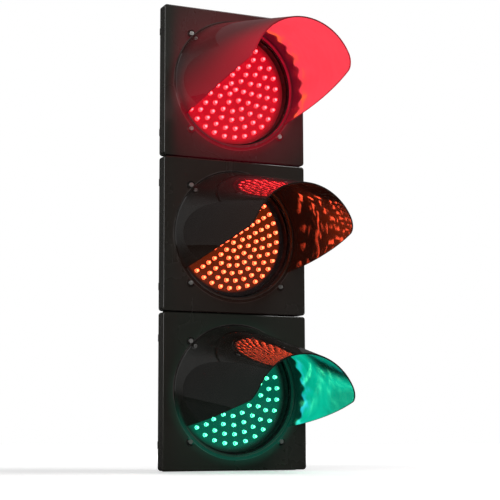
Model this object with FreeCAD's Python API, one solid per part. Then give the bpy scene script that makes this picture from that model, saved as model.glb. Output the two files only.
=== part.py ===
"""Three-section traffic signal head for 200 mm lenses: red, amber and green, one above the other.

Millimetres. +Z is up and the signal shines towards -Y. The origin is the centre of the bottom wiring
entry, on the outside of the bottom wall. Each section is modelled about its own centre and then raised.
"""
import FreeCAD, Part
import os
from math import cos, radians, sin, tan, pi

V = FreeCAD.Vector

# Driving dimensions
PITCH = 250.0                 # height of one section in the stack
COLOURS = ("green", "amber", "red")
CENTRE_Z = {colour: PITCH * (i + 0.5) for i, colour in enumerate(COLOURS)}
HALF = PITCH / 2

# Housing: a stepped rim at the front, then sides that taper to the back
BODY_FRONT_Y = -47.0
BODY_BACK_Y = 29.0
BODY_HALF_FRONT = 116.0
BODY_HALF_BACK = 88.0
RIM_FRONT_Y = -51.0
RIM_HALF = 116.0
RIM_WALL = 4.0
RIM_CORNER = 8.0
WALL = 3.0
END_WALL = 4.0
PAD_THICK = 4.0
PAD_HALF_X = 68.0
PAD_HALF_Y = 25.0
BACK_CORNER = 12.0
BACK_RIB_DEEP = 2.0
BACK_RIB_HALF_X = 72.0
BACK_RIB_HALF_Z = 2.0
BACK_RIB_STEP = 40.0
BACK_RIB_PLACES = (-1.5, -0.5, 0.5, 1.5)

# Holes in the end walls: the entry at the bottom of the stack is the wiring's way in
ENTRY_R = 20.25
PASSAGE_R = 21.0
GROOVE_IN_R = 22.5
GROOVE_OUT_R = 27.0
GROOVE_DEEP = 1.0
BOLT_X = 55.0
BOLT_Y = 15.0
MOUNT_HOLE_R = 4.5
COUPLING_HOLE_R = 4.2

# Door: a square frame with a skirt that wraps the housing's rim
DOOR_W = 250.0
DOOR_H = 248.0
DOOR_FRONT_Y = -69.0
DOOR_THICK = 3.5
DOOR_CORNER = 5.0
DOOR_EDGE = 2.0
SKIN_BACK_Y = DOOR_FRONT_Y + DOOR_THICK
SKIRT_Y = -49.0
OPENING_R = 100.0
BEZEL_R = 103.0
BEZEL_HIGH = 3.0
RIB_WALL = 3.5
GASKET_THICK = 4.0
GASKET_WIDE = 3.4
SEAT_IN_R = 105.3
SEAT_OUT_R = 107.3

# Hinges on the -X side, and captive screws on the +X side
HINGE_X = -118.4
HINGE_Y = -42.0
FIXING_Z = (-84.0, 84.0)
BARREL_R = 3.3
KNUCKLE_HALF = 5.6
ARM_OUT_X = -123.0
ARM_IN_X = -119.4
ARM_FRONT_Y = SKIRT_Y - 7.0
TONGUE_FRONT_Y = SKIRT_Y - 1.0
EAR_NEAR = 6.0
EAR_FAR = 12.0
PIN_R = 1.5
PIN_PLAY = 0.05
PIN_HEAD_R = 2.6
PIN_HEAD_HIGH = 1.5
PIN_END = 2.0
SCREW_X = 131.0
LUG_OUT_X = 137.0
LUG_BACK_Y = -33.0
LUG_HALF_Z = 7.0
LUG_THICK = 4.0
LUG_GAP = 0.3
LUG_FRONT_Y = LUG_BACK_Y - LUG_THICK
HOUSING_LUG_X = 100.0
HOUSING_LUG_THICK = 8.0
SCREW_R = 2.5
SCREW_PLAY_DOOR = 0.1
SCREW_PLAY_HOUSING = 0.6
SCREW_HEAD_R = 5.5
SCREW_HEAD_LONG = 9.0
SCREW_REACH = 11.0
SCREW_SLOT_HALF = 0.8
SCREW_SLOT_DEEP = 1.5
KNURLS = 14
KNURL_R = 0.7
KNURL_OUT = 0.2

# Visor: a tapered tube that points slightly down, with its lower front cut away
VISOR_BASE_R = 106.5
VISOR_FRONT_R = 84.0
VISOR_WALL = 2.2
VISOR_LENGTH = 250.0
VISOR_TILT = radians(8.3)
VISOR_CUT_BASE_Z = -56.0
VISOR_CUT_MIDDLE = (-124.0, -42.0)
VISOR_CUT_TIP_Z = -18.0
VISOR_TIP_ROUND = 24.0
FLANGE_IN_R = 103.3
FLANGE_OUT_R = 108.5
FLANGE_THICK = 2.0
EAR_CIRCLE_R = 111.5
EAR_PAD_R = 6.5
VISOR_SCREW_R = 2.0
VISOR_SCREW_PLAY = 0.2
VISOR_HEAD_R = 3.4
VISOR_HEAD_HIGH = 2.4
CROSS_HALF = 0.5
VISOR_BOSS_RADIUS = 5.0
SCREW_BOSS_Y = DOOR_FRONT_Y + 12.0

# Lens and module shell: these planes follow each other from the door's skin to the back
LENS_FLANGE_R = 105.0
LENS_R = 97.5
LENS_WALL = 2.5
LENS_RIM_Y = DOOR_FRONT_Y + 1.5
LENS_RISE = 4.0
LENS_SEAL = 2.0
LENS_SEAL_IN_R = 98.0
LENS_SEAT_Y = SKIN_BACK_Y + LENS_SEAL
SHELL_FRONT_Y = LENS_SEAT_Y + LENS_WALL
SHELL_WALL = 2.0
MODULE_BACK_Y = SHELL_FRONT_Y + SHELL_WALL
SHELL_R = 98.0
SHELL_NECK_Y = -42.0
SHELL_BACK_R = 80.0
SHELL_BACK_Y = -22.0
SHELL_FLOOR_Y = SHELL_BACK_Y - SHELL_WALL

# Clips that hold the module to the door, each on a boss of the door
MODULE_BOSS_R = 109.3
MODULE_BOSS_RADIUS = 4.0
CLIP_HALF = 5.0
CLIP_THICK = 2.0
CLIP_IN_R = SHELL_R + 1.5
CLIP_OUT_R = MODULE_BOSS_R + 3.0
CLIP_SCREW_R = 1.5
CLIP_SCREW_PLAY = 0.2
CLIP_SCREW_REACH = 4.0
CLIP_HEAD_R = 3.0
CLIP_HEAD_HIGH = 2.0

# LED board and the LEDs on it
BOARD_R = 95.5
BOARD_THICK = 1.6
BOARD_FRONT_Y = -48.0
LEDGE_IN_R = 86.5
LEDGE_THICK = 2.0
LED_RING_R = 82.0
LED_R = 2.5
LED_COLLAR_R = 2.9
LED_COLLAR_HIGH = 1.0
LED_BODY = 4.6
# LEDs on each ring from the middle out, the first ring's radius, and where each ring starts
LED_RINGS = {
    "red": ((4, 8, 14, 18, 24, 28), 9.0, 98.0),
    "amber": ((4, 10, 14, 20, 24, 28, 32), 8.5, 58.0),
    "green": ((4, 8, 14, 18, 24, 28), 9.0, 175.0),
}

# Driver board, on posts at the back of the module; its boxes are (x0, x1, z0, z1, height) and its
# round components (x, z, radius, height)
DRIVER_Y = -34.0
DRIVER_HALF_X = 54.0
DRIVER_HALF_Z = 34.0
DRIVER_BOXES = ((-42, -14, -12, 14, 9.5), (10, 22, 2, 12, 6.0), (-50, -36, -30, -20, 7.0))
DRIVER_CANS = ((2, 18, 8, 9.0), (16, -16, 6, 9.5), (32, -16, 6, 9.5), (34, 8, 5, 8.0))
POST_R = 3.5
POST_X = 48.0
POST_Z = 28.0

# Terminal block, on the back wall of the bottom section
BLOCK_HALF_X = 62.0
BLOCK_LOW_Z = 172.0
BLOCK_HIGH_Z = 194.0
BLOCK_FRONT_Y = 8.0
BLOCK_WAYS = 12
BLOCK_SLOT_HALF = 0.6
BLOCK_SLOT_DEEP = 4.0
TERMINAL_ROW_Z = 6.0
TERMINAL_R = 1.5
TERMINAL_HOLE_DEEP = 6.0
TERMINAL_REACH = 5.0
TERMINAL_HEAD_R = 2.6
TERMINAL_HEAD_HIGH = 1.2
TERMINAL_SLOT_HALF = 0.35

# Leads, from a boss at the back of each module
LEAD_R = 2.5
LEAD_EXIT_X = -50.0
LEAD_EXIT_LONG = 4.0
LEAD_EXIT_R = 5.5
LEAD_BEND = 0.45              # share of a straight run that each bend at its end may take

# Top cover and the hardware that clamps the stack
COVER_HALF_X = 75.0
COVER_HALF_Y = 27.0
COVER_THICK = 4.0
COVER_SEAL = 1.5
COVER_CORNER = 10.0
COVER_CHAMFER = 1.2
BOLT_R = 4.0
HEX_FLATS = 13.0
HEAD_HIGH = 5.3
NUT_HIGH = 6.5
WASHER_R = 8.0
WASHER_THICK = 1.6
WASHER_HOLE_R = 4.2
BOLT_END = 3.0
TINY = 1e-3


# Small builders
def block(x0, x1, y0, y1, z0, z1):
    return Part.makeBox(x1 - x0, y1 - y0, z1 - z0, V(x0, y0, z0))


def rod_y(radius, y0, y1, x=0.0, z=0.0):
    return Part.makeCylinder(radius, y1 - y0, V(x, y0, z), V(0, 1, 0))


def rod_z(radius, z0, z1, x=0.0, y=0.0):
    return Part.makeCylinder(radius, z1 - z0, V(x, y, z0), V(0, 0, 1))


def ring_y(outer, inner, y0, y1):
    return rod_y(outer, y0, y1).cut(rod_y(inner, y0, y1))


def rounded_block(half_x, y0, y1, half_z, corner):
    """A block along Y whose four long edges are rounded."""
    shape = block(-half_x, half_x, y0, y1, -half_z, half_z)
    long_edges = [e for e in shape.Edges if abs(e.Length - (y1 - y0)) < TINY and e.tangentAt(0).y ** 2 > 0.5]
    return shape.makeFillet(corner, long_edges)


def around(count, radius, start=0.0):
    """Points (x, z) evenly spaced on a circle; angles run clockwise from the top, seen from the front."""
    turns = [radians(start + 360.0 * i / count) for i in range(count)]
    return [(radius * sin(a), radius * cos(a)) for a in turns]


def revolve_y(profile):
    """Turn a closed outline of (radius, y) points about the Y axis."""
    points = [V(r, y, 0) for r, y in profile]
    face = Part.Face(Part.makePolygon(points + points[:1]))
    return face.revolve(V(0, 0, 0), V(0, 1, 0), 360)


def union(first, others):
    others = list(others)
    return first.fuse(others).removeSplitter() if others else first


def hexagon(across_flats, z0, z1, x, y):
    radius = across_flats / 2 / cos(pi / 6)
    points = [V(x + radius * cos(k * pi / 3), y + radius * sin(k * pi / 3), z0) for k in range(6)]
    return Part.Face(Part.makePolygon(points + points[:1])).extrude(V(0, 0, z1 - z0))


def write(name, shape):
    shape.exportStep("parts/" + name + ".step")


# Housing
def body_half(y):
    """Half the body's width at y, between its wide front and its narrow back."""
    share = (y - BODY_FRONT_Y) / (BODY_BACK_Y - BODY_FRONT_Y)
    return BODY_HALF_FRONT + (BODY_HALF_BACK - BODY_HALF_FRONT) * share


def tapered_body(inset, front_y, half_height, corner):
    """The housing's tapered body from front_y back, drawn in by inset at its sides and back."""
    back_y = BODY_BACK_Y - inset
    front = body_half(front_y) - inset
    back = body_half(back_y) - inset
    outline = [V(-front, front_y, -half_height), V(front, front_y, -half_height),
               V(back, back_y, -half_height), V(-back, back_y, -half_height)]
    prism = Part.Face(Part.makePolygon(outline + outline[:1])).extrude(V(0, 0, 2 * half_height))
    rear = [e for e in prism.Edges
            if abs(e.Length - 2 * half_height) < TINY and e.BoundBox.YMin > back_y - TINY]
    return prism.makeFillet(corner, rear)


def hinge_ears():
    ears = []
    for z in FIXING_Z:
        for low, high in ((EAR_NEAR, EAR_FAR), (-EAR_FAR, -EAR_NEAR)):
            ears.append(rod_z(BARREL_R, z + low, z + high, HINGE_X, HINGE_Y))
            ears.append(block(HINGE_X, WALL - BODY_HALF_FRONT, HINGE_Y - BARREL_R, HINGE_Y + BARREL_R,
                              z + low, z + high))
    return ears


def housing_lugs():
    front = LUG_BACK_Y + LUG_GAP
    back = front + HOUSING_LUG_THICK
    return [block(HOUSING_LUG_X, LUG_OUT_X, front, back, z - LUG_HALF_Z, z + LUG_HALF_Z) for z in FIXING_Z]


def back_ribs():
    ribs = []
    for place in BACK_RIB_PLACES:
        z = place * BACK_RIB_STEP
        ribs.append(block(-BACK_RIB_HALF_X, BACK_RIB_HALF_X, BODY_BACK_Y - WALL, BODY_BACK_Y + BACK_RIB_DEEP,
                          z - BACK_RIB_HALF_Z, z + BACK_RIB_HALF_Z))
    return ribs


def bolt_places():
    return [(x, y) for x in (-BOLT_X, BOLT_X) for y in (-BOLT_Y, BOLT_Y)]


def end_holes(low, high, passage_r, bolt_r):
    """The wiring hole and the four bolt holes of one end wall and its pad."""
    return [rod_z(passage_r, low, high)] + [rod_z(bolt_r, low, high, x, y) for x, y in bolt_places()]


def seal_ring(low, high):
    return rod_z(GROOVE_OUT_R, low, high).cut(rod_z(GROOVE_IN_R, low, high))


def housing_shell():
    """The hollow body and rim, with a pad inside each end wall."""
    rim = rounded_block(RIM_HALF, RIM_FRONT_Y, BODY_FRONT_Y, RIM_HALF, RIM_CORNER)
    body = tapered_body(0, BODY_FRONT_Y, HALF, BACK_CORNER)
    outside = union(body, [rim] + hinge_ears() + housing_lugs() + back_ribs())
    inner_z = HALF - END_WALL
    room = tapered_body(WALL, BODY_FRONT_Y + WALL, inner_z, BACK_CORNER - WALL)
    mouth_half = RIM_HALF - RIM_WALL
    mouth = rounded_block(mouth_half, RIM_FRONT_Y, BODY_FRONT_Y + WALL, mouth_half, RIM_CORNER - RIM_WALL)
    pads = [block(-PAD_HALF_X, PAD_HALF_X, -PAD_HALF_Y, PAD_HALF_Y, low, low + PAD_THICK)
            for low in (-inner_z, inner_z - PAD_THICK)]
    return union(outside.cut([room, mouth]), pads)


def housing(colour):
    lowest = colour == COLOURS[0]
    holes = end_holes(-HALF, 0, ENTRY_R if lowest else PASSAGE_R, MOUNT_HOLE_R if lowest else COUPLING_HOLE_R)
    holes += end_holes(0, HALF, PASSAGE_R, COUPLING_HOLE_R)
    holes += [seal_ring(-HALF, GROOVE_DEEP - HALF), seal_ring(HALF - GROOVE_DEEP, HALF)]
    lug_front = LUG_BACK_Y + LUG_GAP
    for z in FIXING_Z:
        holes.append(rod_z(PIN_R, z - EAR_FAR, z + EAR_FAR, HINGE_X, HINGE_Y))
        holes.append(rod_y(SCREW_R + SCREW_PLAY_HOUSING, lug_front, lug_front + HOUSING_LUG_THICK,
                           SCREW_X, z))
    return housing_shell().cut(holes)


def hinge_pins():
    pins = []
    for z in FIXING_Z:
        shank = rod_z(PIN_R, z - EAR_FAR - PIN_END, z + EAR_FAR, HINGE_X, HINGE_Y)
        head = rod_z(PIN_HEAD_R, z + EAR_FAR, z + EAR_FAR + PIN_HEAD_HIGH, HINGE_X, HINGE_Y)
        pins.append(shank.fuse(head).removeSplitter())
    return Part.makeCompound(pins)


def door_gasket():
    front = RIM_FRONT_Y - GASKET_THICK
    outer = rounded_block(RIM_HALF, front, RIM_FRONT_Y, RIM_HALF, RIM_CORNER)
    inner_half = RIM_HALF - GASKET_WIDE
    inner = rounded_block(inner_half, front, RIM_FRONT_Y, inner_half, RIM_CORNER - GASKET_WIDE)
    return outer.cut(inner)


# Door
def door_frame():
    outside = rounded_block(DOOR_W / 2, DOOR_FRONT_Y, SKIRT_Y, DOOR_H / 2, DOOR_CORNER)
    front_edges = [e for e in outside.Edges if e.BoundBox.YMax < DOOR_FRONT_Y + TINY]
    outside = outside.makeFillet(DOOR_EDGE, front_edges)
    room = rounded_block(DOOR_W / 2 - WALL, SKIN_BACK_Y, SKIRT_Y, DOOR_H / 2 - WALL, DOOR_CORNER - WALL)
    rib_back = RIM_FRONT_Y - GASKET_THICK
    rib = rounded_block(RIM_HALF, SKIN_BACK_Y, rib_back, RIM_HALF, RIM_CORNER)
    inner = RIM_HALF - RIB_WALL
    rib = rib.cut(rounded_block(inner, SKIN_BACK_Y, rib_back, inner, RIM_CORNER - RIB_WALL))
    seat = ring_y(SEAT_OUT_R, SEAT_IN_R, SKIN_BACK_Y, MODULE_BACK_Y)
    bezel = ring_y(BEZEL_R, OPENING_R, DOOR_FRONT_Y - BEZEL_HIGH, DOOR_FRONT_Y)
    return union(outside.cut(room), [rib, seat, bezel])


def door_fixings():
    """Hinge knuckles on arms at one side, and screw lugs on tongues at the other."""
    half = DOOR_W / 2
    solids = []
    for z in FIXING_Z:
        solids.append(rod_z(BARREL_R, z - KNUCKLE_HALF, z + KNUCKLE_HALF, HINGE_X, HINGE_Y))
        solids.append(block(ARM_OUT_X, ARM_IN_X, ARM_FRONT_Y, HINGE_Y, z - KNUCKLE_HALF, z + KNUCKLE_HALF))
        solids.append(block(half - WALL, half, TONGUE_FRONT_Y, LUG_BACK_Y, z - LUG_HALF_Z, z + LUG_HALF_Z))
        solids.append(block(half - WALL, LUG_OUT_X, LUG_FRONT_Y, LUG_BACK_Y, z - LUG_HALF_Z, z + LUG_HALF_Z))
    return solids


def door_holes():
    holes = [rod_y(OPENING_R, DOOR_FRONT_Y - BEZEL_HIGH, SKIN_BACK_Y)]
    holes += [rod_y(CLIP_SCREW_R, MODULE_BACK_Y - CLIP_SCREW_REACH - 1, MODULE_BACK_Y, x, z)
              for x, z in around(4, MODULE_BOSS_R)]
    holes += [rod_y(VISOR_SCREW_R, DOOR_FRONT_Y, SCREW_BOSS_Y - 1, x, z)
              for x, z in around(4, EAR_CIRCLE_R, 45)]
    for z in FIXING_Z:
        holes.append(rod_z(PIN_R + PIN_PLAY, z - KNUCKLE_HALF, z + KNUCKLE_HALF, HINGE_X, HINGE_Y))
        holes.append(rod_y(SCREW_R + SCREW_PLAY_DOOR, LUG_FRONT_Y, LUG_BACK_Y, SCREW_X, z))
    return holes


def door():
    bosses = [rod_y(MODULE_BOSS_RADIUS, SKIN_BACK_Y, MODULE_BACK_Y, x, z)
              for x, z in around(4, MODULE_BOSS_R)]
    bosses += [rod_y(VISOR_BOSS_RADIUS, SKIN_BACK_Y, SCREW_BOSS_Y, x, z)
               for x, z in around(4, EAR_CIRCLE_R, 45)]
    return union(door_frame(), bosses + door_fixings()).cut(door_holes())


def door_screw(z):
    head_front = LUG_FRONT_Y - SCREW_HEAD_LONG
    head = rod_y(SCREW_HEAD_R, head_front, LUG_FRONT_Y, SCREW_X, z)
    knurls = [rod_y(KNURL_R, head_front, LUG_FRONT_Y - SCREW_SLOT_DEEP, SCREW_X + x, z + dz)
              for x, dz in around(KNURLS, SCREW_HEAD_R + KNURL_OUT)]
    slot = block(SCREW_X - SCREW_HEAD_R, SCREW_X + SCREW_HEAD_R, head_front, head_front + SCREW_SLOT_DEEP,
                 z - SCREW_SLOT_HALF, z + SCREW_SLOT_HALF)
    shank = rod_y(SCREW_R, LUG_FRONT_Y, LUG_FRONT_Y + SCREW_REACH, SCREW_X, z)
    return head.cut(knurls + [slot]).fuse(shank).removeSplitter()


# Visor
def visor_cone(radius, front_radius):
    """A slanted cone along the visor, past both of its ends."""
    drop = VISOR_LENGTH * tan(VISOR_TILT)
    back = Part.makeCircle(radius, V(0, DOOR_FRONT_Y, 0), V(0, 1, 0))
    front = Part.makeCircle(front_radius, V(0, DOOR_FRONT_Y - VISOR_LENGTH, -drop), V(0, 1, 0))
    return Part.makeLoft([Part.Wire(back), Part.Wire(front)], True, True)


def visor_side_view():
    """What the side cut leaves of the visor, as a prism across it."""
    middle_y, middle_z = VISOR_CUT_MIDDLE
    tip_y = DOOR_FRONT_Y - VISOR_LENGTH
    base = V(0, DOOR_FRONT_Y, VISOR_CUT_BASE_Z)
    tip = V(0, tip_y, VISOR_CUT_TIP_Z)
    lower = Part.Arc(base, V(0, DOOR_FRONT_Y + middle_y, middle_z), tip).toShape()
    top_front = V(0, tip_y, HALF)
    top_back = V(0, DOOR_FRONT_Y, HALF)
    sides = [Part.makeLine(tip, top_front), Part.makeLine(top_front, top_back), Part.makeLine(top_back, base)]
    prism = Part.Face(Part.Wire([lower] + sides)).extrude(V(PITCH, 0, 0))
    prism.translate(V(-HALF, 0, 0))
    corner = [e for e in prism.Edges
              if abs(e.Length - PITCH) < TINY and abs(e.BoundBox.ZMin - VISOR_CUT_TIP_Z) < TINY]
    return prism.makeFillet(VISOR_TIP_ROUND, corner)


def visor():
    shell = visor_cone(VISOR_BASE_R, VISOR_FRONT_R).cut(
        visor_cone(VISOR_BASE_R - VISOR_WALL, VISOR_FRONT_R - VISOR_WALL))
    hood = shell.common(visor_side_view())
    flange_front = DOOR_FRONT_Y - FLANGE_THICK
    flange = ring_y(FLANGE_OUT_R, FLANGE_IN_R, flange_front, DOOR_FRONT_Y)
    pads = []
    for x, z in around(4, EAR_CIRCLE_R, 45):
        pad = rod_y(EAR_PAD_R, flange_front, DOOR_FRONT_Y, x, z)
        pads.append(pad.cut(rod_y(FLANGE_IN_R, flange_front, DOOR_FRONT_Y)))
    holes = [rod_y(VISOR_SCREW_R + VISOR_SCREW_PLAY, flange_front, DOOR_FRONT_Y, x, z)
             for x, z in around(4, EAR_CIRCLE_R, 45)]
    return union(hood, [flange] + pads).cut(holes)


def cross_head(radius, height, y_seat, x, z):
    """A round screw head on the front of y_seat, with a cross recess half its height deep."""
    top = y_seat - height
    head = rod_y(radius, top, y_seat, x, z)
    deep = height / 2
    arm = radius * 0.6
    recess = [block(x - arm, x + arm, top, top + deep, z - CROSS_HALF, z + CROSS_HALF),
              block(x - CROSS_HALF, x + CROSS_HALF, top, top + deep, z - arm, z + arm)]
    return head.cut(recess)


def visor_screws():
    screws = []
    seat = DOOR_FRONT_Y - FLANGE_THICK
    for x, z in around(4, EAR_CIRCLE_R, 45):
        head = cross_head(VISOR_HEAD_R, VISOR_HEAD_HIGH, seat, x, z)
        screws.append(head.fuse(rod_y(VISOR_SCREW_R, seat, SCREW_BOSS_Y - 2, x, z)).removeSplitter())
    return Part.makeCompound(screws)


# LED module
def lens_gasket():
    return ring_y(LENS_FLANGE_R, LENS_SEAL_IN_R, SKIN_BACK_Y, LENS_SEAT_Y)


def domed_disc(radius, rim_y, rise, back_y):
    """A disc from back_y to rim_y at its edge, whose front is domed by rise."""
    edge = V(radius, rim_y, 0)
    top = V(0, rim_y - rise, 0)
    slope = Part.Arc(V(-radius, rim_y, 0), top, edge).toShape()
    cap = slope.split(slope.getParameterByLength(slope.Length / 2)).Edges[-1]
    sides = [Part.makeLine(edge, V(radius, back_y, 0)),
             Part.makeLine(V(radius, back_y, 0), V(0, back_y, 0)),
             Part.makeLine(V(0, back_y, 0), top)]
    return Part.Face(Part.Wire(Part.__sortEdges__([cap] + sides))).revolve(V(0, 0, 0), V(0, 1, 0), 360)


def lens():
    outside = domed_disc(LENS_R, LENS_RIM_Y, LENS_RISE, SHELL_FRONT_Y)
    inside = domed_disc(LENS_R - LENS_WALL, LENS_RIM_Y + LENS_WALL, LENS_RISE, SHELL_FRONT_Y)
    return union(outside.cut(inside), [ring_y(LENS_FLANGE_R, LENS_R - 1, LENS_SEAT_Y, SHELL_FRONT_Y)])


def module_shell():
    inner = SHELL_R - SHELL_WALL
    wall = revolve_y([
        (LENS_FLANGE_R, SHELL_FRONT_Y), (LENS_FLANGE_R, MODULE_BACK_Y), (SHELL_R, MODULE_BACK_Y),
        (SHELL_R, SHELL_NECK_Y), (SHELL_BACK_R, SHELL_BACK_Y), (0, SHELL_BACK_Y),
        (0, SHELL_FLOOR_Y), (SHELL_BACK_R - 1, SHELL_FLOOR_Y),
        (inner, SHELL_NECK_Y - 1), (inner, SHELL_FRONT_Y)])
    ledge_y = BOARD_FRONT_Y + BOARD_THICK
    ledge = ring_y(SHELL_R - 1, LEDGE_IN_R, ledge_y, ledge_y + LEDGE_THICK)
    posts = [rod_y(POST_R, DRIVER_Y + BOARD_THICK, SHELL_FLOOR_Y, x, z)
             for x in (-POST_X, POST_X) for z in (-POST_Z, POST_Z)]
    exit_boss = rod_y(LEAD_EXIT_R, SHELL_BACK_Y, SHELL_BACK_Y + LEAD_EXIT_LONG, LEAD_EXIT_X, 0)
    return union(wall, [ledge, exit_boss] + posts)


def driver_board():
    board = block(-DRIVER_HALF_X, DRIVER_HALF_X, DRIVER_Y, DRIVER_Y + BOARD_THICK,
                  -DRIVER_HALF_Z, DRIVER_HALF_Z)
    boxes = [block(x0, x1, DRIVER_Y - high, DRIVER_Y, z0, z1) for x0, x1, z0, z1, high in DRIVER_BOXES]
    cans = [rod_y(radius, DRIVER_Y - high, DRIVER_Y, x, z) for x, z, radius, high in DRIVER_CANS]
    return union(board, boxes + cans)


def module_clips():
    clips = []
    back = MODULE_BACK_Y + CLIP_THICK
    for turn in range(4):
        plate = block(-CLIP_HALF, CLIP_HALF, MODULE_BACK_Y, back, CLIP_IN_R, CLIP_OUT_R)
        plate = plate.cut(rod_y(CLIP_SCREW_R + CLIP_SCREW_PLAY, MODULE_BACK_Y, back, 0, MODULE_BOSS_R))
        plate.rotate(V(0, 0, 0), V(0, 1, 0), 90 * turn)
        clips.append(plate)
    return Part.makeCompound(clips)


def clip_screws():
    screws = []
    seat = MODULE_BACK_Y + CLIP_THICK
    top = seat + CLIP_HEAD_HIGH
    for x, z in around(4, MODULE_BOSS_R):
        shank = rod_y(CLIP_SCREW_R, MODULE_BACK_Y - CLIP_SCREW_REACH, seat, x, z)
        head = rod_y(CLIP_HEAD_R, seat, top, x, z)
        slot = block(x - CLIP_HEAD_R, x + CLIP_HEAD_R, top - 1, top, z - CROSS_HALF, z + CROSS_HALF)
        screws.append(shank.fuse(head.cut(slot)).removeSplitter())
    return Part.makeCompound(screws)


def led_board():
    return rod_y(BOARD_R, BOARD_FRONT_Y, BOARD_FRONT_Y + BOARD_THICK)


def one_led():
    body_y = BOARD_FRONT_Y - LED_BODY
    collar = rod_y(LED_COLLAR_R, BOARD_FRONT_Y - LED_COLLAR_HIGH, BOARD_FRONT_Y)
    barrel = rod_y(LED_R, body_y, BOARD_FRONT_Y)
    dome = Part.makeSphere(LED_R, V(0, body_y, 0)).common(rod_y(LED_R + 1, body_y - LED_R, body_y))
    return union(collar, [barrel, dome])


def leds(colour):
    counts, first_r, start = LED_RINGS[colour]
    step = (LED_RING_R - first_r) / (len(counts) - 1)
    led = one_led()
    solids = []
    for ring, count in enumerate(counts):
        for x, z in around(count, first_r + ring * step, start):
            copy = led.copy()
            copy.translate(V(x, 0, z))
            solids.append(copy)
    return Part.makeCompound(solids)


# Leads and terminals, in the stack's own heights
def bend(before, here, after):
    """Where the arc at a corner of a lead starts, its middle and its end."""
    into = (here - before).normalize()
    out = (after - here).normalize()
    reach = LEAD_BEND * min((here - before).Length, (after - here).Length)
    half_turn = into.getAngle(out) / 2
    inward = (out - into).normalize()
    middle = here + inward * (reach / tan(half_turn) * (1 / cos(half_turn) - 1))
    return here - into * reach, middle, here + out * reach


def tube(points, radius):
    """A round tube along straight runs joined by tangent arcs."""
    points = [V(*p) for p in points]
    edges = []
    last = points[0]
    for corner in zip(points, points[1:], points[2:]):
        start, middle, end = bend(*corner)
        edges += [Part.makeLine(last, start), Part.Arc(start, middle, end).toShape()]
        last = end
    edges.append(Part.makeLine(last, points[-1]))
    section = Part.Wire(Part.makeCircle(radius, points[0], points[1] - points[0]))
    return Part.Wire(edges).makePipeShell([section], True, False)


def module_lead(colour):
    """From the back of a module, round by the hinge side and down to the terminal block."""
    z = CENTRE_Z[colour]
    start_y = SHELL_BACK_Y + LEAD_EXIT_LONG
    leave = [(LEAD_EXIT_X, start_y, z), (LEAD_EXIT_X, 4, z)]
    if colour == "green":
        return tube(leave + [(-72, 14, z + 12), (-50, 17, z + 30), (-50, 17, BLOCK_LOW_Z)], LEAD_R)
    down = [(-74, 13, z - 14), (-80, 15, z - 48), (-56, 13, z - 84), (-20, 8, z - 104)]
    if colour == "amber":
        return tube(leave + down + [(4, 7, z - 132), (2, 17, z - 158), (2, 17, BLOCK_HIGH_Z)], LEAD_R)
    passing = [(-8, 5, z - 132), (-14, 12, z - 165), (-12, 14, z - 215), (-15, 14, z - 290),
               (-14, 6, z - 335), (-12, -6, z - 368), (-20, 1, z - 390), (-38, 17, z - 408)]
    return tube(leave + down + passing + [(-38, 17, BLOCK_HIGH_Z)], LEAD_R)


def terminal_places():
    step = 2 * BLOCK_HALF_X / (BLOCK_WAYS + 1)
    middle = (BLOCK_LOW_Z + BLOCK_HIGH_Z) / 2
    return [(step * (i + 1) - BLOCK_HALF_X, middle + dz)
            for i in range(BLOCK_WAYS) for dz in (-TERMINAL_ROW_Z, TERMINAL_ROW_Z)]


def terminal_block():
    body = block(-BLOCK_HALF_X, BLOCK_HALF_X, BLOCK_FRONT_Y, BODY_BACK_Y - WALL, BLOCK_LOW_Z, BLOCK_HIGH_Z)
    step = 2 * BLOCK_HALF_X / (BLOCK_WAYS + 1)
    slots = []
    for i in range(BLOCK_WAYS + 1):
        x = step * (i + 0.5) - BLOCK_HALF_X
        slots.append(block(x - BLOCK_SLOT_HALF, x + BLOCK_SLOT_HALF, BLOCK_FRONT_Y,
                           BLOCK_FRONT_Y + BLOCK_SLOT_DEEP, BLOCK_LOW_Z, BLOCK_HIGH_Z))
    holes = [rod_y(TERMINAL_R, BLOCK_FRONT_Y, BLOCK_FRONT_Y + TERMINAL_HOLE_DEEP, x, z)
             for x, z in terminal_places()]
    return body.cut(slots + holes)


def terminal_screws():
    screws = []
    top = BLOCK_FRONT_Y - TERMINAL_HEAD_HIGH
    for x, z in terminal_places():
        head = rod_y(TERMINAL_HEAD_R, top, BLOCK_FRONT_Y, x, z)
        slot = block(x - TERMINAL_HEAD_R, x + TERMINAL_HEAD_R, top, top + TERMINAL_HEAD_HIGH / 2,
                     z - TERMINAL_SLOT_HALF, z + TERMINAL_SLOT_HALF)
        shank = rod_y(TERMINAL_R, BLOCK_FRONT_Y, BLOCK_FRONT_Y + TERMINAL_REACH, x, z)
        screws.append(head.cut(slot).fuse(shank).removeSplitter())
    return Part.makeCompound(screws)


# Hardware that clamps the stack: each set grips from low to high
def grips():
    wall = END_WALL + PAD_THICK
    top = PITCH * len(COLOURS)
    cover_top = top + COVER_SEAL + COVER_THICK
    joints = [(PITCH * k - wall, PITCH * k + wall) for k in range(1, len(COLOURS))]
    return joints + [(top - wall, cover_top)]


def coupling_bolts():
    bolts = []
    for low, high in grips():
        for x, y in bolt_places():
            seat = high + WASHER_THICK
            head = hexagon(HEX_FLATS, seat, seat + HEAD_HIGH, x, y)
            shank = rod_z(BOLT_R, low - WASHER_THICK - NUT_HIGH - BOLT_END, seat, x, y)
            bolts.append(head.fuse(shank).removeSplitter())
    return Part.makeCompound(bolts)


def coupling_nuts():
    nuts = []
    for low, _ in grips():
        for x, y in bolt_places():
            seat = low - WASHER_THICK
            nut = hexagon(HEX_FLATS, seat - NUT_HIGH, seat, x, y)
            nuts.append(nut.cut(rod_z(BOLT_R, seat - NUT_HIGH, seat, x, y)))
    return Part.makeCompound(nuts)


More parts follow.
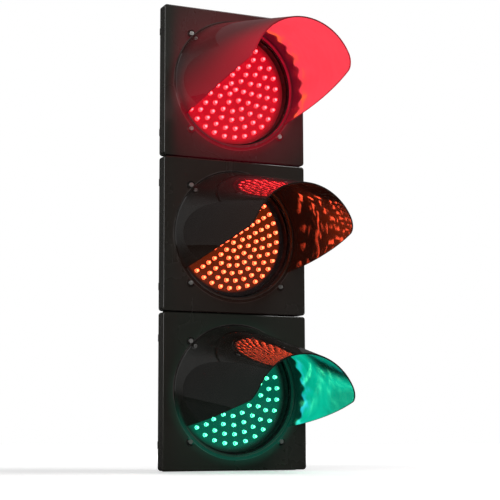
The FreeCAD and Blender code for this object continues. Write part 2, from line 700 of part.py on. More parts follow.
def coupling_washers():
    washers = []
    for low, high in grips():
        for x, y in bolt_places():
            for z in (low - WASHER_THICK, high):
                washer = rod_z(WASHER_R, z, z + WASHER_THICK, x, y)
                washers.append(washer.cut(rod_z(WASHER_HOLE_R, z, z + WASHER_THICK, x, y)))
    return Part.makeCompound(washers)


def coupling_seals():
    planes = [PITCH * k for k in range(1, len(COLOURS))]
    return Part.makeCompound([seal_ring(z - GROOVE_DEEP, z + GROOVE_DEEP) for z in planes])


def cover_plate(low, thick):
    plate = block(-COVER_HALF_X, COVER_HALF_X, -COVER_HALF_Y, COVER_HALF_Y, low, low + thick)
    upright = [e for e in plate.Edges if abs(e.Length - thick) < TINY and e.tangentAt(0).z ** 2 > 0.5]
    return plate.makeFillet(COVER_CORNER, upright)


def cover_holes(low, thick):
    return [rod_z(COUPLING_HOLE_R, low, low + thick, x, y) for x, y in bolt_places()]


def top_cover():
    low = PITCH * len(COLOURS) + COVER_SEAL
    plate = cover_plate(low, COVER_THICK)
    rim = [e for e in plate.Edges if e.BoundBox.ZMin > low + COVER_THICK - TINY]
    return plate.makeChamfer(COVER_CHAMFER, rim).cut(cover_holes(low, COVER_THICK))


def top_cover_seal():
    low = PITCH * len(COLOURS)
    return cover_plate(low, COVER_SEAL).cut(cover_holes(low, COVER_SEAL))


def section_parts(colour):
    """Every piece of one section, about the section's own centre."""
    low, high = FIXING_Z
    return {
        "housing": housing(colour), "door": door(), "door_gasket": door_gasket(), "hinge_pins": hinge_pins(),
        "door_screw_upper": door_screw(high), "door_screw_lower": door_screw(low),
        "visor": visor(), "visor_screws": visor_screws(), "lens": lens(), "lens_gasket": lens_gasket(),
        "module_clips": module_clips(), "clip_screws": clip_screws(), "led_board": led_board(),
        "leds": leds(colour), "module_shell": module_shell(), "driver_board": driver_board(),
    }


def main():
    os.makedirs("parts", exist_ok=True)
    for colour in COLOURS:
        for name, shape in section_parts(colour).items():
            shape.translate(V(0, 0, CENTRE_Z[colour]))
            write(name + "_" + colour, shape)
        write("module_lead_" + colour, module_lead(colour))
    write("coupling_bolts", coupling_bolts())
    write("coupling_nuts", coupling_nuts())
    write("coupling_washers", coupling_washers())
    write("coupling_seals", coupling_seals())
    write("top_cover", top_cover())
    write("top_cover_seal", top_cover_seal())
    write("terminal_block", terminal_block())
    write("terminal_screws", terminal_screws())


main()
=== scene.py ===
"""Looks for a three-section traffic signal head, lit red, amber and green."""
import bpy
from math import cos, pi, radians, sin
from mathutils import Matrix, Vector

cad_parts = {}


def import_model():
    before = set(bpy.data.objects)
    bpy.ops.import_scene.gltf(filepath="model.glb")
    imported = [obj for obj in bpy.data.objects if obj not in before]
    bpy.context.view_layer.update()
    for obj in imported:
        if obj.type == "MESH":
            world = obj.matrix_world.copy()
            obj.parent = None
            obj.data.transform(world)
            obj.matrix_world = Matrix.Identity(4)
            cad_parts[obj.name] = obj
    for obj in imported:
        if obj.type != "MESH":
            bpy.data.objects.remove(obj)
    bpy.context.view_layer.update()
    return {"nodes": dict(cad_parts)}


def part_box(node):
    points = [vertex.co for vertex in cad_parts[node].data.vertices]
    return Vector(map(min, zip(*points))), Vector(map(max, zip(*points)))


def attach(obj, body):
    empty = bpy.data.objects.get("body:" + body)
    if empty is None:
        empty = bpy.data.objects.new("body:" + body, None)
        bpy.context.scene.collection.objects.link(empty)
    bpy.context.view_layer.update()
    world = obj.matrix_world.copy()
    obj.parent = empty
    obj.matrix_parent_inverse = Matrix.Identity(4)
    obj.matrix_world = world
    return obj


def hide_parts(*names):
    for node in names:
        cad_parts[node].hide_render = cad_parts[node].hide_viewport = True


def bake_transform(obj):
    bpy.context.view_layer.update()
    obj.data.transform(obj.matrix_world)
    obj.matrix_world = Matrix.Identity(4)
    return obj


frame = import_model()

# Sizes in metres, angles in degrees
COLOURS = ("red", "amber", "green")
VISOR_DROP = 0.1459           # how far the visor's axis falls for each metre forward
LED_SPACING_TURNS = {"red": 28, "amber": 32, "green": 28}
BEZEL_RADIUS = 0.1025
OPENING_RADIUS = (0.1003, 0.1013)
FLANGE_RADIUS = 0.1080
FLANGE_END = (0.1125, 0.1105)
HIGHLIGHT_LINE_HALF = {"bezel": 0.0016, "flange": 0.0012}   # half the width of a painted highlight line
DRIVER_PARTS = (0.0090, 0.0085)                     # where the parts on the driver board start
LIP_BASE = -0.056             # where the visor's cut lower edge starts, and how fast it rises
LIP_SLOPE = 0.152
LIP_REACH = 0.085             # how far above the lip its glow dies out
LEAD_DIAMETER = 0.005

# The patch of light about each LED, and the small gap that keeps it off the board
HALO_RADIUS = 0.0050
HALO_RINGS = (0.0, 0.40, 0.55, 0.75, 1.0)
HALO_FADE = 0.6
HALO_STEPS = 20
HALO_GAP = 0.00015

# Camera: where it stands, which way it looks and its lens
CAMERA_PLACE = (-0.916, -2.116, 0.047)
CAMERA_TURN = 24.70           # to the right of +Y
CAMERA_RISE = 7.77
CAMERA_ROLL = 0.18
CAMERA_LENS = 100.8

# Stage
FLOOR_RADIUS = 14.0
FLOOR_STEPS = 96
FLOOR_LEVEL = -0.0005
FLOOR_PALE = (0.80, 0.84)
FLOOR_MIRRORED = 0.06         # how pale the floor is where gloss mirrors it
FLOOR_GLOW = (0.46, 1.1)      # near the object and far from it, with the distances
FLOOR_GLOW_RUN = (0.3, 1.6)
ROOM_FRONT = 0.05             # how bright the room is in front of the object, and behind it
ROOM_BACK = 0.08
ROOM_RUN = (-0.3, 0.8)
LIGHTS_AIM = (0.0, 0.0, 0.38)
LIGHTS = {                    # place, size in metres, power in watts, and whether gloss mirrors it
    "key": ((1.4, -1.3, 2.6), (1.2, 1.2), 40.0, True),
    "fill": ((-2.0, -2.4, 1.4), (2.4, 2.4), 66.0, True),
    "back": ((0.4, 2.4, 2.2), (2.2, 1.4), 22.0, False),
}

# Colours as linear RGB
BLACK = (0.0200, 0.0188, 0.0155)
PALER_BLACK = (0.028, 0.026, 0.022)
# Paler black for real scuffs, and for the painted highlight lines along the bezel's and flange's edges
WORN_AND_HIGHLIGHT_BLACK = (0.055, 0.050, 0.046)
DUST = (0.16, 0.15, 0.135)
UNLIT = (0.0, 0.0, 0.0)
UNLIT_BOARD = (0.004, 0.003, 0.003)

# The lamps. An LED's tip shines in one channel far past white, so that polished black mirrors it,
# and stays pale in the others. Its barrel is dimmer.
BOARD = {"red": (0.74, 0.003, 0.016), "amber": (0.145, 0.014, 0.002), "green": (0.0, 0.125, 0.072)}
HALO = {"red": (0.95, 0.030, 0.050), "amber": (0.36, 0.055, 0.011), "green": (0.012, 0.38, 0.27)}
LED = {"red": (1.0, 0.020, 0.022), "amber": (1.0, 0.057, 0.020), "green": (0.090, 1.0, 0.40)}
LED_BARREL = {"red": (1.0, 0.065, 0.085), "amber": (0.90, 0.19, 0.07), "green": (0.04, 0.70, 0.48)}
LED_STRENGTH = {"red": 26.0, "amber": 15.0, "green": 7.0}
LED_BARREL_STRENGTH = 0.8
LED_TIP = (-0.25, -0.88)      # the normal's y where the tip starts and where it is full
LIT_RADIUS = {                # the board is lit to here, fades to here and is this bright beyond
    "red": (0.084, 0.0945, 0.35), "amber": (0.086, 0.090, 0.0), "green": (0.085, 0.0945, 0.12)}

# The glow inside the visor: its main colour, its patches near the start, the part before the start,
# and how far in front of the door it starts and is full
VISOR_GLOW = {"red": (0.93, 0.052, 0.082), "amber": (0.100, 0.008, 0.001), "green": (0.0, 0.50, 0.31)}
VISOR_EDGE = {"red": (1.0, 0.140, 0.025), "amber": (0.10, 0.008, 0.001), "green": (0.02, 0.58, 0.68)}
VISOR_DEEP = {"red": (0.075, 0.001, 0.007), "amber": (0.008, 0.001, 0.0004), "green": (0.0, 0.014, 0.009)}
GLOW_RUN = {"red": (0.034, 0.044), "amber": (0.090, 0.215), "green": (0.034, 0.044)}
GLOW_LOBES = 0.006
GLOW_RAGGED = 0.012
EDGE_WIDTH = 0.035
STREAK_SHARE = {"red": 0.88, "amber": 0.88, "green": 0.55}
ROOF_TURN = (1.15, 0.85)      # radians from the top: painted shade, the painted glow is taken off the roof of the amber and green visors
ROOF_RUN = (0.09, 0.17)
WAVINESS = 0.0011             # how far the visor's inside rises and falls
INSIDE_ROUGH = {"red": 0.32, "amber": 0.040, "green": 0.11}
INSIDE_GLOSS = {"red": (0.5, 0.5), "amber": (0.02, 0.50), "green": (0.4, 0.55)}
INSIDE_GLOSS_RUN = (0.08, 0.22)
OUTSIDE_GLOSS = 0.70
OUTSIDE_ROUGH = 0.015
VISOR_TONE = 0.45

# Where the door and the visor's outside glow. Each pair is where a glow is gone and where it is full.
# RADIUS is from the section's axis, SIDE to the right of it, HEIGHT above it and AHEAD in front of
# the door.
SPILL_RADIUS = (0.200, 0.085)
SPILL_SIDE = (-0.120, -0.095)
BEZEL_REACH = 0.020
BEZEL_HEIGHT = (0.06, -0.08)
BEZEL_SIDE = (-0.05, 0.06)
FRONT_AHEAD = (-0.012, -0.003)
FRONT_FACING = (0.5, -0.1)    # the normal's y
WALL_INSIDE = (-0.10, -0.45)  # the share of the visor's normal that points away from its axis
FOOT_AHEAD = (0.020, 0.008)
FOOT_HEIGHT = (0.0, -0.085)
OUTSIDE_AHEAD = (0.004, 0.045)
OUTSIDE_SIDE = (-0.106, -0.070)

# Painted light: the glow that the lamp gives the door, its bezel and opening, and the visor's outside, lip
# and foot
DOOR_SPILL_GLOW = {"red": (0.058, 0.0005, 0.004), "amber": (0.004, 0.0004, 0.0004), "green": (0.0, 0.003, 0.0018)}
BEZEL_GLOW = {"red": (0.120, 0.001, 0.006), "amber": (0.006, 0.001, 0.0), "green": (0.001, 0.040, 0.024)}
WALL_GLOW = {"red": (0.300, 0.001, 0.014), "amber": (0.020, 0.002, 0.0), "green": (0.001, 0.030, 0.019)}
OUTSIDE_GLOW = {"red": (0.080, 0.006, 0.009), "amber": (0.004, 0.0, 0.0), "green": (0.0, 0.0, 0.0)}
LIP_GLOW = {"red": (0.46, 0.006, 0.022), "amber": (0.008, 0.001, 0.0), "green": (0.0, 0.004, 0.003)}
FOOT_GLOW = {"red": (0.190, 0.001, 0.008), "amber": (0.008, 0.001, 0.0), "green": (0.001, 0.052, 0.033)}


class Graph:
    """A material's node tree, with short calls for the nodes used here."""

    def __init__(self, name):
        self.material = bpy.data.materials.new(name)
        self.material.use_nodes = True
        self.tree = self.material.node_tree
        self.shader = self.tree.nodes["Principled BSDF"]

    def add(self, kind, **settings):
        node = self.tree.nodes.new("ShaderNode" + kind)
        for key, value in settings.items():
            setattr(node, key, value)
        return node

    def feed(self, socket, value):
        if isinstance(value, bpy.types.NodeSocket):
            self.tree.links.new(value, socket)
        elif socket.type == "RGBA" and len(value) == 3:
            socket.default_value = (*value, 1.0)
        else:
            socket.default_value = value

    def set(self, **values):
        """Shader inputs by name, with _ for a space."""
        for key, value in values.items():
            self.feed(self.shader.inputs[key.replace("_", " ")], value)

    def calc(self, operation, *values):
        node = self.add("Math", operation=operation)
        for socket, value in zip(node.inputs, values):
            self.feed(socket, value)
        return node.outputs[0]

    def vector(self, operation, *values, out=0):
        node = self.add("VectorMath", operation=operation)
        for socket, value in zip(node.inputs, values):
            self.feed(socket, value)
        return node.outputs[out]

    def place(self):
        return self.add("TexCoord").outputs["Object"]

    def split(self, vector):
        node = self.add("SeparateXYZ")
        self.feed(node.inputs[0], vector)
        return node.outputs

    def noise(self, scale, detail=2.0, stretch=(1, 1, 1), roughness=0.5, distortion=0.0):
        node = self.add("TexNoise")
        where = self.vector("MULTIPLY", self.place(), stretch)
        for name, value in (("Vector", where), ("Scale", scale), ("Detail", detail),
                            ("Roughness", roughness), ("Distortion", distortion)):
            self.feed(node.inputs[name], value)
        return node.outputs["Fac"]

    def fade(self, value, start, end, low=0.0, high=1.0):
        """From low at start to high at end, eased at both ends."""
        node = self.add("MapRange", interpolation_type="SMOOTHSTEP")
        for socket, number in zip(node.inputs, (value, start, end, low, high)):
            self.feed(socket, number)
        return node.outputs[0]

    def mix(self, factor, first, second, blend="MIX"):
        node = self.add("Mix", data_type="RGBA", blend_type=blend)
        self.feed(node.inputs[0], factor)
        self.feed(node.inputs[6], first)
        self.feed(node.inputs[7], second)
        return node.outputs[2]

    def bump(self, height, distance, strength=1.0):
        node = self.add("Bump")
        self.feed(node.inputs["Strength"], strength)
        self.feed(node.inputs["Distance"], distance)
        self.feed(node.inputs["Height"], height)
        self.feed(self.shader.inputs["Normal"], node.outputs[0])


def centre(node):
    low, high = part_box(node)
    return (low + high) / 2


LENS_Z = {colour: centre("led_board_" + colour).z for colour in COLOURS}
DOOR_FACE_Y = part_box("visor_red")[1].y


# Materials
def moulded(graph, rough_low, rough_high, dust=0.5, grain=0.00006, wear_and_highlight=0.0, tone=1.0, wave=0.0):
    """Black moulding: fine texture, uneven gloss, light scuffs, painted highlight lines along edges and
    some dust on top.
    """
    cloudy = graph.noise(9.0, 4.0)
    scuffs = graph.fade(graph.noise(60.0, 5.0, (1, 1, 0.12), 0.65, 0.6), 0.60, 0.72)
    up = graph.split(graph.add("NewGeometry").outputs["Normal"])[2]
    patchy = graph.fade(graph.noise(35.0, 6.0), 0.35, 0.7)
    settled = graph.calc("MULTIPLY", graph.fade(up, 0.35, 0.95), patchy)
    settled = graph.calc("MULTIPLY", settled, dust)
    rough = graph.fade(cloudy, 0.3, 0.7, rough_low, rough_high)
    rough = graph.calc("ADD", rough, graph.calc("MULTIPLY", scuffs, 0.08))
    rough = graph.calc("ADD", rough, graph.calc("MULTIPLY", settled, 0.25))
    dark, light = (tuple(tone * part for part in shade) for shade in (BLACK, PALER_BLACK))
    base = graph.mix(graph.calc("MULTIPLY", cloudy, 0.35), dark, light)
    base = graph.mix(graph.calc("MULTIPLY", scuffs, 0.08), base, WORN_AND_HIGHLIGHT_BLACK)
    base = graph.mix(graph.calc("MULTIPLY", settled, 0.20), base, DUST)
    # Painted highlight: thin paler lines where an edge would catch the light
    graph.set(Base_Color=graph.mix(wear_and_highlight, base, WORN_AND_HIGHLIGHT_BLACK), Roughness=rough)
    texture = graph.calc("MULTIPLY", graph.noise(520.0, 2.0), grain)
    graph.bump(graph.calc("ADD", texture, wave), 1.0)


def from_axis(graph, height, drop=0.0):
    """Distance from a section's axis, how far in front of the door, and the turn from the top."""
    x, y, z = graph.split(graph.place())[:3]
    ahead = graph.calc("SUBTRACT", DOOR_FACE_Y, y)
    level = graph.calc("SUBTRACT", z, height)
    level = graph.calc("ADD", level, graph.calc("MULTIPLY", ahead, drop))
    square = graph.calc("ADD", graph.calc("MULTIPLY", x, x), graph.calc("MULTIPLY", level, level))
    return graph.calc("SQRT", square), ahead, graph.calc("ARCTAN2", x, level), (x, level)


def housing_plastic():
    graph = Graph("housing_plastic")
    moulded(graph, 0.30, 0.42)
    return graph.material


def painted_highlight_ring(graph, distance, radius, half_width):
    """A painted highlight line round the axis, where an edge would catch the light, uneven along its
    length.
    """
    off = graph.calc("ABSOLUTE", graph.calc("SUBTRACT", distance, radius))
    line = graph.fade(off, half_width, half_width * 0.4)
    return graph.calc("MULTIPLY", line, graph.fade(graph.noise(28.0, 4.0), 0.35, 0.65, 0.35, 1.0))


def door_plastic(colour):
    """The door's gloss black, with the spill of its own lamp on the bezel and the face."""
    graph = Graph("door_plastic_" + colour)
    distance, ahead, _, (x, level) = from_axis(graph, LENS_Z[colour])
    # Painted highlight line along the bezel's edge
    wear_and_highlight = painted_highlight_ring(graph, distance, BEZEL_RADIUS, HIGHLIGHT_LINE_HALF["bezel"])
    moulded(graph, 0.16, 0.30, 0.12, wear_and_highlight=wear_and_highlight)
    # Painted light: the lamp's spill over the door's face
    spill = graph.calc("MULTIPLY", graph.fade(distance, *SPILL_RADIUS), graph.fade(x, *SPILL_SIDE))
    glow = graph.mix(spill, UNLIT, DOOR_SPILL_GLOW[colour])
    below = graph.fade(level, *BEZEL_HEIGHT, 0.2, 1.0)
    below = graph.calc("MULTIPLY", below, graph.fade(x, *BEZEL_SIDE, 0.5, 1.0))
    near = graph.fade(distance, BEZEL_RADIUS + BEZEL_REACH, BEZEL_RADIUS)
    near = graph.calc("MULTIPLY", near, below)
    glow = graph.mix(near, glow, BEZEL_GLOW[colour])
    wall = graph.fade(distance, OPENING_RADIUS[1], OPENING_RADIUS[0])
    glow = graph.mix(wall, glow, WALL_GLOW[colour])
    facing = graph.split(graph.add("NewGeometry").outputs["Normal"])[1]
    front = graph.fade(ahead, *FRONT_AHEAD)
    front = graph.calc("MULTIPLY", front, graph.fade(facing, *FRONT_FACING))
    graph.set(Emission_Color=graph.mix(front, UNLIT, glow), Emission_Strength=1.0)
    return graph.material


def visor_inside(graph, colour, ahead, turn):
    """What the LEDs throw on the visor's inside: scalloped at its start, streaked and blotched."""
    lobes = graph.calc("COSINE", graph.calc("MULTIPLY", turn, float(LED_SPACING_TURNS[colour])))
    ragged = graph.calc("SUBTRACT", graph.noise(70.0, 3.0), 0.5)
    reach = graph.calc("ADD", ahead, graph.calc("MULTIPLY", lobes, GLOW_LOBES))
    reach = graph.calc("ADD", reach, graph.calc("MULTIPLY", ragged, GLOW_RAGGED))
    start, full = GLOW_RUN[colour]
    lit = graph.fade(reach, start, full)
    edge = graph.fade(reach, full + EDGE_WIDTH, full)
    streaks = graph.fade(graph.noise(16.0, 3.0, (1.0, 0.35, 1.0), 0.6, 1.2), 0.35, 0.75)
    blotch = graph.calc("MULTIPLY", edge, graph.fade(graph.noise(45.0, 2.0), 0.42, 0.62))
    hue = graph.mix(blotch, VISOR_GLOW[colour], VISOR_EDGE[colour])
    hue = graph.mix(streaks, hue, tuple(STREAK_SHARE[colour] * part for part in VISOR_GLOW[colour]))
    if colour != "red":
        # Painted shade: the glow is taken off the visor's roof
        roof = graph.calc("MULTIPLY", graph.fade(turn, *ROOF_TURN), graph.fade(ahead, *ROOF_RUN))
        lit = graph.calc("MULTIPLY", lit, graph.calc("SUBTRACT", 1.0, roof))
    return graph.mix(lit, VISOR_DEEP[colour], hue)


def visor_outside(graph, colour, ahead, height, x):
    """A faint glow through the wall, stronger along the cut lower edge and weak at the flange."""
    above_lip = graph.calc("SUBTRACT", height, graph.calc("MULTIPLY", ahead, LIP_SLOPE))
    near_lip = graph.fade(above_lip, LIP_BASE + LIP_REACH, LIP_BASE)
    glow = graph.mix(near_lip, OUTSIDE_GLOW[colour], LIP_GLOW[colour])
    away = graph.fade(ahead, *OUTSIDE_AHEAD, 0.25, 1.0)
    away = graph.calc("MULTIPLY", away, graph.fade(x, *OUTSIDE_SIDE, 0.4, 1.0))
    return graph.mix(away, UNLIT, glow)


def visor_plastic(colour):
    """Polished black, lit inside and out by the lamp behind it."""
    graph = Graph("visor_plastic_" + colour)
    distance, ahead, turn, (x, level) = from_axis(graph, LENS_Z[colour], VISOR_DROP)
    height = graph.calc("SUBTRACT", graph.split(graph.place())[2], LENS_Z[colour])
    normal = graph.split(graph.add("NewGeometry").outputs["Normal"])
    outward = graph.calc("MULTIPLY", normal[0], x)
    outward = graph.calc("ADD", outward, graph.calc("MULTIPLY", normal[2], level))
    inside = graph.fade(graph.calc("DIVIDE", outward, distance), *WALL_INSIDE)
    smoothest = graph.fade(inside, 0.0, 1.0, OUTSIDE_ROUGH, INSIDE_ROUGH[colour])
    wave = graph.calc("MULTIPLY", graph.noise(26.0, 1.0), graph.calc("MULTIPLY", inside, WAVINESS))
    roughest = graph.calc("ADD", smoothest, 0.03)
    # Painted highlight line along the flange's edge
    flange = painted_highlight_ring(graph, distance, FLANGE_RADIUS, HIGHLIGHT_LINE_HALF["flange"])
    moulded(graph, smoothest, roughest, 0.35, 0.000012, flange, VISOR_TONE, wave)
    glow = graph.mix(inside, visor_outside(graph, colour, ahead, height, x),
                     visor_inside(graph, colour, ahead, turn))
    gloss = graph.fade(ahead, *INSIDE_GLOSS_RUN, *INSIDE_GLOSS[colour])
    graph.set(Specular_IOR_Level=graph.fade(inside, 0.0, 1.0, OUTSIDE_GLOSS, gloss))
    foot = graph.calc("MULTIPLY", graph.fade(ahead, *FOOT_AHEAD), graph.fade(level, *FOOT_HEIGHT))
    foot = graph.calc("MULTIPLY", foot, graph.fade(distance, *FLANGE_END))
    glow = graph.mix(foot, glow, FOOT_GLOW[colour])
    graph.set(Emission_Color=glow, Emission_Strength=1.0)
    return graph.material


def board(colour):
    """The LED board's face, lit all over by its own LEDs and dimmer past the last ring."""
    graph = Graph("board_" + colour)
    distance, _, _, _ = from_axis(graph, LENS_Z[colour])
    full, end, left = LIT_RADIUS[colour]
    lit = graph.fade(distance, end, full, left, 1.0)
    uneven = graph.fade(graph.noise(55.0, 2.0), 0.2, 0.8, 0.82, 1.0)
    glow = graph.mix(graph.calc("MULTIPLY", lit, uneven), UNLIT_BOARD, BOARD[colour])
    graph.set(Base_Color=(0.01, 0.01, 0.01), Roughness=0.45,
              Emission_Color=glow, Emission_Strength=1.0)
    graph.bump(graph.noise(900.0, 1.0), 0.00003)
    return graph.material


def led_lens(colour):
    """The dome shines forward; its foot and the barrel behind it are far dimmer."""
    graph = Graph("led_" + colour)
    hot = graph.fade(graph.noise(700.0, 0.0), 0.3, 0.7, 0.92, 1.0)
    facing = graph.split(graph.add("NewGeometry").outputs["Normal"])[1]
    tip = graph.calc("MULTIPLY", graph.fade(facing, *LED_TIP), hot)
    glow = graph.mix(tip, LED_BARREL[colour], LED[colour])
    strength = graph.fade(tip, 0.0, 1.0, LED_BARREL_STRENGTH, LED_STRENGTH[colour])
    graph.set(Base_Color=(0.02, 0.02, 0.02), Roughness=0.12,
              Emission_Color=glow, Emission_Strength=strength)
    return graph.material


def halo(colour):
    graph = Graph("halo_" + colour)
    share = graph.add("Attribute", attribute_name="glow").outputs["Fac"]
    soft = graph.fade(share, 0.0, 1.0)
    graph.set(Base_Color=(0.01, 0.01, 0.01), Roughness=0.5, Emission_Strength=1.0,
              Emission_Color=graph.mix(soft, BOARD[colour], HALO[colour]))
    return graph.material


def clear_lens():
    graph = Graph("clear_lens")
    rough = graph.fade(graph.noise(14.0, 4.0), 0.4, 0.75, 0.03, 0.08)
    graph.set(Base_Color=(0.06, 0.06, 0.06), Roughness=rough, Alpha=0.06)
    graph.shader.inputs["IOR"].default_value = 1.59
    graph.bump(graph.noise(25.0, 1.0), 0.00004)
    return graph.material


def rubber():
    graph = Graph("rubber")
    grain = graph.noise(350.0, 4.0)
    graph.set(Base_Color=graph.mix(grain, (0.010, 0.010, 0.010), (0.028, 0.027, 0.026)),
              Roughness=graph.fade(grain, 0.3, 0.7, 0.72, 0.9))
    graph.bump(grain, 0.00012)
    return graph.material


def steel():
    graph = Graph("steel")
    turned = graph.noise(420.0, 3.0, (1, 0.05, 1))
    wear_and_highlight = graph.fade(graph.noise(60.0, 4.0), 0.45, 0.7)
    graph.set(Metallic=1.0, Roughness=graph.fade(turned, 0.3, 0.7, 0.38, 0.55),
              Base_Color=graph.mix(wear_and_highlight, (0.66, 0.65, 0.63), (0.46, 0.45, 0.43)))
    graph.bump(turned, 0.00004)
    return graph.material


def brass():
    graph = Graph("brass")
    wear_and_highlight = graph.fade(graph.noise(180.0, 4.0), 0.4, 0.7)
    graph.set(Metallic=1.0, Roughness=graph.fade(wear_and_highlight, 0.0, 1.0, 0.28, 0.48),
              Base_Color=graph.mix(wear_and_highlight, (0.70, 0.49, 0.19), (0.45, 0.30, 0.12)))
    return graph.material


def plain_moulding(name, dark, light, rough):
    """A matt moulding: the module's shell, a lead's sheath or the terminal block."""
    graph = Graph(name)
    grain = graph.noise(240.0, 4.0)
    graph.set(Base_Color=graph.mix(graph.noise(20.0, 3.0), dark, light),
              Roughness=graph.fade(grain, 0.3, 0.7, rough - 0.08, rough + 0.08))
    graph.bump(grain, 0.00007)
    return graph.material


def driver_board():
    """Green board; what stands on it is black, and the transformer is taped yellow."""
    graph = Graph("driver_board")
    low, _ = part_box("driver_board_red")
    _, y, _ = graph.split(graph.place())[:3]
    tall = graph.fade(y, *(low.y + deep for deep in DRIVER_PARTS))
    taped = graph.fade(graph.noise(38.0, 0.0), 0.48, 0.50)
    raised = graph.mix(taped, (0.02, 0.02, 0.022), (0.35, 0.26, 0.03))
    mask = graph.mix(graph.noise(150.0, 3.0), (0.008, 0.07, 0.025), (0.015, 0.11, 0.04))
    graph.set(Base_Color=graph.mix(tall, mask, raised), Roughness=0.4)
    return graph.material


# Pieces
def paint(node, material):
    mesh = frame["nodes"][node].data
    mesh.materials.clear()
    mesh.materials.append(material)


def islands(mesh):
    """The separate solids of a mesh, each as a list of its points."""
    beside = [[] for _ in mesh.vertices]
    for edge in mesh.edges:
        a, b = edge.vertices
        beside[a].append(b)
        beside[b].append(a)
    seen = [False] * len(beside)
    found = []
    for first in range(len(beside)):
        if seen[first]:
            continue
        seen[first] = True
        group, queue = [], [first]
        while queue:
            here = queue.pop()
            group.append(mesh.vertices[here].co.copy())
            for there in beside[here]:
                if not seen[there]:
                    seen[there] = True
                    queue.append(there)
        found.append(group)
    return found


def middle(points):
    low = Vector(min(p[i] for p in points) for i in range(3))
    high = Vector(max(p[i] for p in points) for i in range(3))
    return (low + high) / 2


def led_halos(colour):
    """A round patch of light on the board about each LED."""
    face_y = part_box("led_board_" + colour)[0].y - HALO_GAP
    rings, steps = HALO_RINGS, HALO_STEPS
    points, faces, glow = [], [], []
    for led in islands(frame["nodes"]["leds_" + colour].data):
        where = middle(led)
        base = len(points)
        points.append((where.x, face_y, where.z))
        glow.append(1.0)
        for ring in rings[1:]:
            for k in range(steps):
                turn = 2 * pi * k / steps
                points.append((where.x + ring * HALO_RADIUS * cos(turn), face_y,
                               where.z + ring * HALO_RADIUS * sin(turn)))
                glow.append(min(1.0, (1.0 - ring) / HALO_FADE))
        for k in range(steps):
            after = (k + 1) % steps
            faces.append((base, base + 1 + k, base + 1 + after))
            for ring in range(len(rings) - 2):
                inner, outer = base + 1 + ring * steps, base + 1 + (ring + 1) * steps
                faces.append((inner + k, outer + k, outer + after, inner + after))
    mesh = bpy.data.meshes.new("led_halo_" + colour)
    mesh.from_pydata(points, [], faces)
    mesh.attributes.new("glow", "FLOAT", "POINT").data.foreach_set("value", glow)
    mesh.materials.append(halo(colour))
    piece = bpy.data.objects.new("led_halo_" + colour, mesh)
    bpy.context.scene.collection.objects.link(piece)
    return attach(piece, "door_" + colour)


def smooth_tube(name, route, diameter):
    """A round tube along a smooth line whose control points are the route, as a mesh."""
    curve = bpy.data.curves.new(name, "CURVE")
    curve.dimensions = "3D"
    curve.bevel_depth = diameter / 2
    curve.bevel_resolution = 4
    curve.use_fill_caps = True
    spline = curve.splines.new("NURBS")
    spline.points.add(len(route) - 1)
    for point, place in zip(spline.points, route):
        point.co = (*place, 1.0)
    spline.order_u = 3
    spline.use_endpoint_u = True
    spline.resolution_u = 12
    holder = bpy.data.objects.new(name, curve)
    mesh = bpy.data.meshes.new_from_object(holder)
    mesh.name = name
    for face in mesh.polygons:
        face.use_smooth = True
    piece = bpy.data.objects.new(name + "_sheath", mesh)
    bpy.data.objects.remove(holder)
    bpy.context.scene.collection.objects.link(piece)
    return piece


def lead_route(colour):
    """The lead's points: out of the module, round by the hinge side and down to the terminals."""
    z = LENS_Z[colour]
    out = [(-0.050, -0.018, z), (-0.050, 0.004, z)]
    if colour == "green":
        up = [(-0.072, 0.014, z + 0.012), (-0.050, 0.017, z + 0.030), (-0.050, 0.017, z + 0.047)]
        return out + up
    down = [(-0.074, 0.013, z - 0.014), (-0.080, 0.015, z - 0.048), (-0.056, 0.013, z - 0.084),
            (-0.020, 0.008, z - 0.104)]
    if colour == "amber":
        last = [(0.004, 0.007, z - 0.132), (0.002, 0.017, z - 0.158), (0.002, 0.017, z - 0.181)]
        return out + down + last
    passing = [(-0.008, 0.005, z - 0.132), (-0.014, 0.012, z - 0.165), (-0.012, 0.014, z - 0.215),
               (-0.015, 0.014, z - 0.290), (-0.014, 0.006, z - 0.335), (-0.012, -0.006, z - 0.368),
               (-0.020, 0.001, z - 0.390), (-0.038, 0.017, z - 0.408), (-0.038, 0.017, z - 0.431)]
    return out + down + passing


def module_lead(colour, material):
    route = lead_route(colour)
    piece = smooth_tube("lead_" + colour, route, LEAD_DIAMETER)
    piece.data.materials.append(material)
    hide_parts("module_lead_" + colour)
    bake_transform(piece)


def dress():
    """Every CAD node gets its material."""
    shell = plain_moulding("shell_plastic", (0.008, 0.008, 0.008), (0.016, 0.015, 0.015), 0.5)
    shared = {"housing": housing_plastic(), "door_gasket": rubber(), "hinge_pins": steel(),
              "lens": clear_lens(), "module_shell": shell, "driver_board": driver_board()}
    for name in ("door_screw_upper", "door_screw_lower", "visor_screws",
                 "module_clips", "clip_screws"):
        shared[name] = shared["hinge_pins"]
    shared["lens_gasket"] = shared["door_gasket"]
    for colour in COLOURS:
        own = {"door": door_plastic(colour), "visor": visor_plastic(colour),
               "led_board": board(colour), "leds": led_lens(colour)}
        for name, material in {**shared, **own}.items():
            paint(name + "_" + colour, material)
    for name in ("coupling_bolts", "coupling_nuts", "coupling_washers"):
        paint(name, shared["hinge_pins"])
    for name in ("coupling_seals", "top_cover_seal"):
        paint(name, shared["door_gasket"])
    paint("top_cover", shared["housing"])
    paint("terminal_block",
          plain_moulding("terminal_plastic", (0.45, 0.43, 0.37), (0.52, 0.50, 0.43), 0.45))
    paint("terminal_screws", brass())


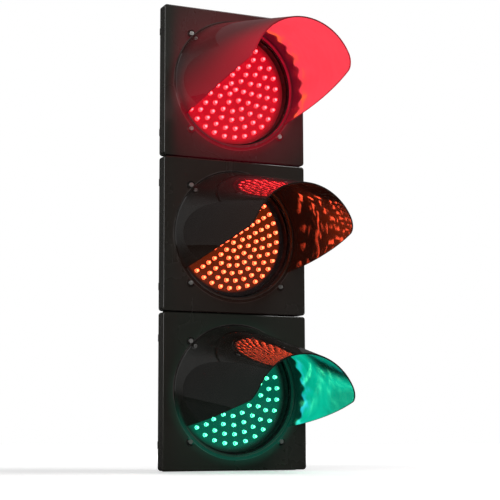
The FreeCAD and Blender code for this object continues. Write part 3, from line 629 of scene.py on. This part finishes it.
# Stage
def camera():
    turn, rise, roll = (radians(a) for a in (CAMERA_TURN, CAMERA_RISE, CAMERA_ROLL))
    ahead = Vector((sin(turn) * cos(rise), cos(turn) * cos(rise), sin(rise)))
    level = Vector((cos(turn), -sin(turn), 0.0))
    up = level.cross(ahead)
    right = level * cos(roll) - up * sin(roll)
    upright = level * sin(roll) + up * cos(roll)
    data = bpy.data.cameras.new("camera")
    data.lens = CAMERA_LENS
    made = bpy.data.objects.new("camera", data)
    made.matrix_world = Matrix((right, upright, -ahead)).transposed().to_4x4()
    made.location = CAMERA_PLACE
    bpy.context.scene.collection.objects.link(made)
    bpy.context.scene.camera = made


def grey(level):
    return (level, level, level)


def floor():
    """A white floor that melts into the room; gloss on the object mirrors it only faintly."""
    turns = [2 * pi * k / FLOOR_STEPS for k in range(FLOOR_STEPS)]
    rim = [(FLOOR_RADIUS * cos(turn), FLOOR_RADIUS * sin(turn), FLOOR_LEVEL) for turn in turns]
    mesh = bpy.data.meshes.new("floor")
    mesh.from_pydata(rim, [], [tuple(range(FLOOR_STEPS))])
    graph = Graph("floor")
    sight = graph.add("LightPath").outputs
    pale = graph.mix(graph.noise(3.0, 3.0), grey(FLOOR_PALE[0]), grey(FLOOR_PALE[1]))
    dim = graph.mix(sight["Is Glossy Ray"], pale, grey(FLOOR_MIRRORED))
    far = graph.fade(graph.vector("LENGTH", graph.place(), out=1), *FLOOR_GLOW_RUN)
    glow = graph.mix(far, grey(FLOOR_GLOW[0]), grey(FLOOR_GLOW[1]))
    glow = graph.mix(sight["Is Camera Ray"], UNLIT, glow)
    graph.set(Base_Color=dim, Roughness=0.85, Emission_Color=glow, Emission_Strength=1.0)
    graph.shader.inputs["Specular IOR Level"].default_value = 0.0
    mesh.materials.append(graph.material)
    made = bpy.data.objects.new("floor", mesh)
    bpy.context.scene.collection.objects.link(made)


def world():
    """A room that the camera sees as white, with dimmer walls to light the object and be mirrored."""
    made = bpy.data.worlds.new("studio")
    bpy.context.scene.world = made
    made.use_nodes = True
    nodes, links = made.node_tree.nodes, made.node_tree.links
    direction = nodes.new("ShaderNodeTexCoord").outputs["Generated"]
    parts = nodes.new("ShaderNodeSeparateXYZ")
    links.new(direction, parts.inputs[0])
    ramp = nodes.new("ShaderNodeMapRange")
    ramp.interpolation_type = "SMOOTHSTEP"
    links.new(parts.outputs[1], ramp.inputs[0])
    for socket, value in zip(ramp.inputs[1:], (*ROOM_RUN, ROOM_FRONT, ROOM_BACK)):
        socket.default_value = value
    sight = nodes.new("ShaderNodeLightPath").outputs["Is Camera Ray"]
    most = nodes.new("ShaderNodeMath")
    most.operation = "MAXIMUM"
    links.new(ramp.outputs[0], most.inputs[0])
    links.new(sight, most.inputs[1])
    links.new(most.outputs[0], nodes["Background"].inputs["Strength"])
    nodes["Background"].inputs["Color"].default_value = (1.0, 1.0, 1.0, 1.0)


def area_light(name, place, size, power, mirrored):
    data = bpy.data.lights.new(name, "AREA")
    data.shape = "RECTANGLE"
    data.size, data.size_y = size
    data.energy = power
    made = bpy.data.objects.new(name, data)
    made.location = place
    made.rotation_mode = "QUATERNION"
    made.rotation_quaternion = (Vector(LIGHTS_AIM) - Vector(place)).to_track_quat("-Z", "Y")
    made.visible_glossy = mirrored
    bpy.context.scene.collection.objects.link(made)


camera()
dress()
sheath = plain_moulding("lead_sheath", (0.010, 0.010, 0.010), (0.018, 0.018, 0.018), 0.42)
for colour in COLOURS:
    led_halos(colour)
    module_lead(colour, sheath)
floor()
world()
for name, (place, size, power, mirrored) in LIGHTS.items():
    area_light(name, place, size, power, mirrored)
bpy.context.scene.view_settings.view_transform = "Standard"
